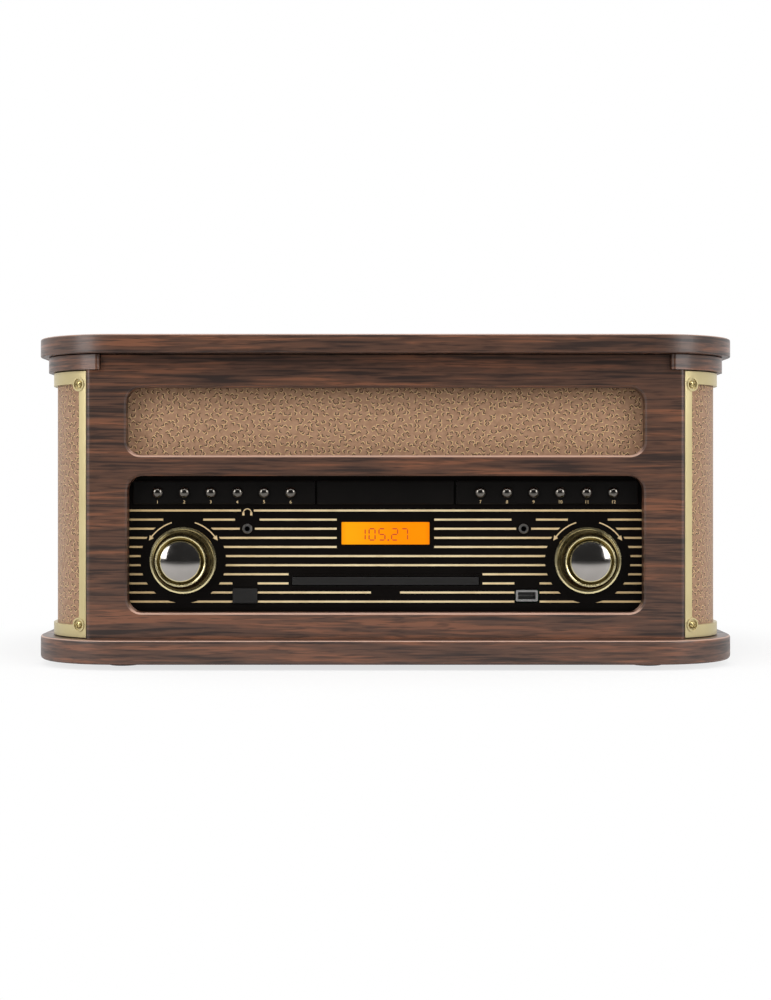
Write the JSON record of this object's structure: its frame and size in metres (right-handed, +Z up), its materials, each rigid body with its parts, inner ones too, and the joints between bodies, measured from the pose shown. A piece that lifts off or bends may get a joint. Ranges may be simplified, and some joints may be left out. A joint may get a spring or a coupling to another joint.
{
  "type": "record player",
  "caption": "Retro wooden music centre: record player under a hinged lid, disc drawer, radio facia with striped panel, round control knobs and rounded grille corners.",
  "frame": {"origin": "centre of the footprint, on the surface that the feet stand on", "axes": "+Z up, -Y towards the front with the controls, +X to the right seen from the front"},
  "size_m": [0.5, 0.3573, 0.234],
  "materials": {
    "walnut": "semi-gloss wood-grain finish",
    "board": "raw fibreboard",
    "brass_paint": "satin champagne brass",
    "grille_fabric": "woven brocade",
    "black_facia": "gloss black",
    "black_plastic": "fine matte",
    "knob_brass": "dark polished brass",
    "dark_chrome": "dark mirror",
    "steel": "plain",
    "brass": "satin",
    "rubber": "matte",
    "amber_glass": "backlit",
    "circuit_green": "solder mask",
    "speaker_black": "satin",
    "transformer_iron": "lacquered",
    "arm_silver": "satin"
  },
  "bodies": {
    "cabinet": {"base_board": "walnut", "rubber_feet": "rubber", "front_panel": "walnut", "side_panels": "walnut", "rear_panel": "walnut", "top_rails": "walnut", "inner_frame": "board", "grille_frames": "brass_paint", "grille_cloths": "grille_fabric", "speakers": "speaker_black", "panel_cloth": "grille_fabric", "facia": "black_facia", "facia_stripes": "brass_paint", "button_bar": "black_facia", "display_window": "amber_glass", "control_board": "circuit_green", "sockets": "steel", "cd_drive": "steel", "main_board": "circuit_green", "transformer": "transformer_iron", "rear_jack_tray": "black_plastic", "deck_plate": "black_plastic", "platter_bearing": "steel", "motor": "steel", "tonearm_base": "black_plastic", "arm_rest": "black_plastic", "cabinet_hinges": "brass", "drive_belt": "rubber"},
    "lid": {"lid_plate": "walnut", "lid_hinge_leaves": "brass", "stay_track": "steel", "lid_buffers": "rubber"},
    "lid_stay": {"stay_arm": "steel"},
    "platter": {"platter": "black_plastic", "platter_mat": "rubber"},
    "motor_pulley": {"motor_pulley": "brass"},
    "tonearm_gimbal": {"tonearm_gimbal": "black_plastic"},
    "tonearm": {"tonearm": "arm_silver", "cartridge": "black_plastic"},
    "arm_lifter": {"arm_lifter": "black_plastic"},
    "cue_lever": {"cue_lever": "black_plastic"},
    "speed_selector": {"speed_selector": "black_plastic"},
    "autostop_slider": {"autostop_slider": "black_plastic"},
    "volume_knob": {"volume_knob": "knob_brass"},
    "tuning_knob": {"tuning_knob": "knob_brass"},
    "power_button": {"power_button": "black_plastic"},
    "cd_tray": {"cd_tray": "black_plastic"},
    "button_1": {"button_1": "dark_chrome"},
    "button_2": {"button_2": "dark_chrome"},
    "button_3": {"button_3": "dark_chrome"},
    "button_4": {"button_4": "dark_chrome"},
    "button_5": {"button_5": "dark_chrome"},
    "button_6": {"button_6": "dark_chrome"},
    "button_7": {"button_7": "dark_chrome"},
    "button_8": {"button_8": "dark_chrome"},
    "button_9": {"button_9": "dark_chrome"},
    "button_10": {"button_10": "dark_chrome"},
    "button_11": {"button_11": "dark_chrome"},
    "button_12": {"button_12": "dark_chrome"}
  },
  "joints": [
    {"name": "lid_hinge", "type": "hinge", "parent": "cabinet", "child": "lid", "pos_m": [0, 0.17615, 0.22065], "axis": [-1, 0, 0], "range_deg": [0, 60]},
    {"name": "lid_stay_pivot", "type": "hinge", "parent": "cabinet", "child": "lid_stay", "pos_m": [0.2105, 0.1108, 0.19556], "axis": [-1, 0, 0], "range_deg": [0, 120]},
    {"name": "platter_spin", "type": "hinge", "parent": "cabinet", "child": "platter", "pos_m": [-0.062, 0.0056, 0.17], "axis": [0, 0, -1], "continuous": true},
    {"name": "pulley_spin", "type": "hinge", "parent": "cabinet", "child": "motor_pulley", "pos_m": [0.00656, 0.05916, 0.165], "axis": [0, 0, -1], "continuous": true},
    {"name": "arm_swing", "type": "hinge", "parent": "cabinet", "child": "tonearm_gimbal", "pos_m": [0.112, 0.0616, 0.185], "axis": [0, 0, -1], "range_deg": [0, 57]},
    {"name": "cue_lever_turn", "type": "hinge", "parent": "cabinet", "child": "cue_lever", "pos_m": [0.15, 0.0556, 0.171], "axis": [-1, 0, 0], "range_deg": [0, 60]},
    {"name": "arm_lift", "type": "hinge", "parent": "tonearm_gimbal", "child": "tonearm", "pos_m": [0.112, 0.0616, 0.193], "axis": [-1, 0, 0], "range_deg": [0, 6]},
    {"name": "lifter_rise", "type": "slide", "parent": "cabinet", "child": "arm_lifter", "axis": [0, 0, 1], "range_m": [0, 0.00272]},
    {"name": "speed_select", "type": "hinge", "parent": "cabinet", "child": "speed_selector", "pos_m": [0.172, -0.038, 0.166], "axis": [0, 0, 1], "range_deg": [-25, 25]},
    {"name": "autostop_slide", "type": "slide", "parent": "cabinet", "child": "autostop_slider", "axis": [0, 1, 0], "range_m": [0, 0.006]},
    {"name": "volume_turn", "type": "hinge", "parent": "cabinet", "child": "volume_knob", "pos_m": [-0.143, -0.16665, 0.0757], "axis": [0, -1, 0], "range_deg": [-150, 150]},
    {"name": "tuning_turn", "type": "hinge", "parent": "cabinet", "child": "tuning_knob", "pos_m": [0.143, -0.16665, 0.0757], "axis": [0, -1, 0], "continuous": true},
    {"name": "power_push", "type": "slide", "parent": "cabinet", "child": "power_button", "axis": [0, 1, 0], "range_m": [0, 0.0025], "stiffness_N_per_m": 400},
    {"name": "disc_drawer", "type": "slide", "parent": "cabinet", "child": "cd_tray", "axis": [0, -1, 0], "range_m": [0, 0.135]},
    {"name": "button_1_push", "type": "slide", "parent": "cabinet", "child": "button_1", "axis": [0, 1, 0], "range_m": [0, 0.001], "stiffness_N_per_m": 600},
    {"name": "button_2_push", "type": "slide", "parent": "cabinet", "child": "button_2", "axis": [0, 1, 0], "range_m": [0, 0.001], "stiffness_N_per_m": 600},
    {"name": "button_3_push", "type": "slide", "parent": "cabinet", "child": "button_3", "axis": [0, 1, 0], "range_m": [0, 0.001], "stiffness_N_per_m": 600},
    {"name": "button_4_push", "type": "slide", "parent": "cabinet", "child": "button_4", "axis": [0, 1, 0], "range_m": [0, 0.001], "stiffness_N_per_m": 600},
    {"name": "button_5_push", "type": "slide", "parent": "cabinet", "child": "button_5", "axis": [0, 1, 0], "range_m": [0, 0.001], "stiffness_N_per_m": 600},
    {"name": "button_6_push", "type": "slide", "parent": "cabinet", "child": "button_6", "axis": [0, 1, 0], "range_m": [0, 0.001], "stiffness_N_per_m": 600},
    {"name": "button_7_push", "type": "slide", "parent": "cabinet", "child": "button_7", "axis": [0, 1, 0], "range_m": [0, 0.001], "stiffness_N_per_m": 600},
    {"name": "button_8_push", "type": "slide", "parent": "cabinet", "child": "button_8", "axis": [0, 1, 0], "range_m": [0, 0.001], "stiffness_N_per_m": 600},
    {"name": "button_9_push", "type": "slide", "parent": "cabinet", "child": "button_9", "axis": [0, 1, 0], "range_m": [0, 0.001], "stiffness_N_per_m": 600},
    {"name": "button_10_push", "type": "slide", "parent": "cabinet", "child": "button_10", "axis": [0, 1, 0], "range_m": [0, 0.001], "stiffness_N_per_m": 600},
    {"name": "button_11_push", "type": "slide", "parent": "cabinet", "child": "button_11", "axis": [0, 1, 0], "range_m": [0, 0.001], "stiffness_N_per_m": 600},
    {"name": "button_12_push", "type": "slide", "parent": "cabinet", "child": "button_12", "axis": [0, 1, 0], "range_m": [0, 0.001], "stiffness_N_per_m": 600}
  ],
  "couplings": [
    {"joint": "lid_stay_pivot", "follows": "lid_hinge", "ratio": 2},
    {"joint": "pulley_spin", "follows": "platter_spin", "ratio": 15},
    {"joint": "arm_lift", "follows": "cue_lever_turn", "ratio": 0.1},
    {"joint": "lifter_rise", "follows": "cue_lever_turn", "m_per_rad": 0.002595}
  ]
}
